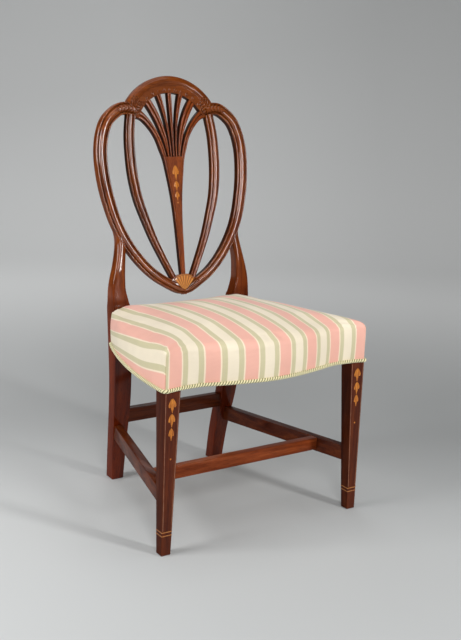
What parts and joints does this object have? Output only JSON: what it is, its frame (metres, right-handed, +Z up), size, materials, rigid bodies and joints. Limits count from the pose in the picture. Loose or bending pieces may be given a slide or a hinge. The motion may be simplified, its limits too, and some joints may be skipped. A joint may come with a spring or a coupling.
{
  "type": "dining chair",
  "caption": "Mahogany side chair with a leaning shield back, a splat that opens into a carved fan, tapered inlaid legs, an H stretcher and a serpentine striped seat upholstered over its rails.",
  "frame": {"origin": "on the floor, under the middle of the whole chair's width and depth", "axes": "+Z up; the front of the seat faces -Y; +X is to the right as seen from the front"},
  "size_m": [0.5402, 0.5096, 0.9697],
  "materials": {
    "mahogany": "polished",
    "rubbed_mahogany": "satin, rubbed by feet",
    "satinwood_inlay": "polished",
    "beech": "sawn",
    "jute": "coarse woven",
    "horsehair": "felted",
    "striped_silk": "woven stripes",
    "cord_yarn": "twisted"
  },
  "bodies": {
    "root": {"crest_rail": "mahogany", "cross_web_1": "jute", "cross_web_2": "jute", "cross_web_3": "jute", "cross_web_4": "jute", "curved_rib_left": "mahogany", "curved_rib_right": "mahogany", "edge_wadding": "horsehair", "foot_band_1_left": "satinwood_inlay", "foot_band_1_right": "satinwood_inlay", "foot_band_2_left": "satinwood_inlay", "foot_band_2_right": "satinwood_inlay", "foot_fan_border": "satinwood_inlay", "foot_fan_inlay": "satinwood_inlay", "front_corner_block_left": "beech", "front_corner_block_right": "beech", "front_leg_left": "mahogany", "front_leg_right": "mahogany", "front_seat_rail": "beech", "hessian": "jute", "leg_bellflower_1_left": "satinwood_inlay", "leg_bellflower_1_right": "satinwood_inlay", "leg_bellflower_2_left": "satinwood_inlay", "leg_bellflower_2_right": "satinwood_inlay", "leg_bellflower_3_left": "satinwood_inlay", "leg_bellflower_3_right": "satinwood_inlay", "leg_inner_line_left": "satinwood_inlay", "leg_inner_line_right": "satinwood_inlay", "leg_outer_line_left": "satinwood_inlay", "leg_outer_line_right": "satinwood_inlay", "long_web_1": "jute", "long_web_2": "jute", "long_web_3": "jute", "long_web_4": "jute", "middle_stretcher": "rubbed_mahogany", "rear_corner_block_left": "beech", "rear_corner_block_right": "beech", "rear_leg_and_stile_left": "mahogany", "rear_leg_and_stile_right": "mahogany", "rear_seat_rail": "beech", "rear_stretcher": "mahogany", "seat_cover": "striped_silk", "shield_foot_rail": "mahogany", "side_seat_rail_left": "beech", "side_seat_rail_right": "beech", "side_stretcher_left": "mahogany", "side_stretcher_right": "mahogany", "splat": "mahogany", "splat_bellflower_1": "satinwood_inlay", "splat_bellflower_2": "satinwood_inlay", "splat_bellflower_3": "satinwood_inlay", "stuffing": "horsehair", "trim_cord": "cord_yarn"}
  },
  "joints": []
}
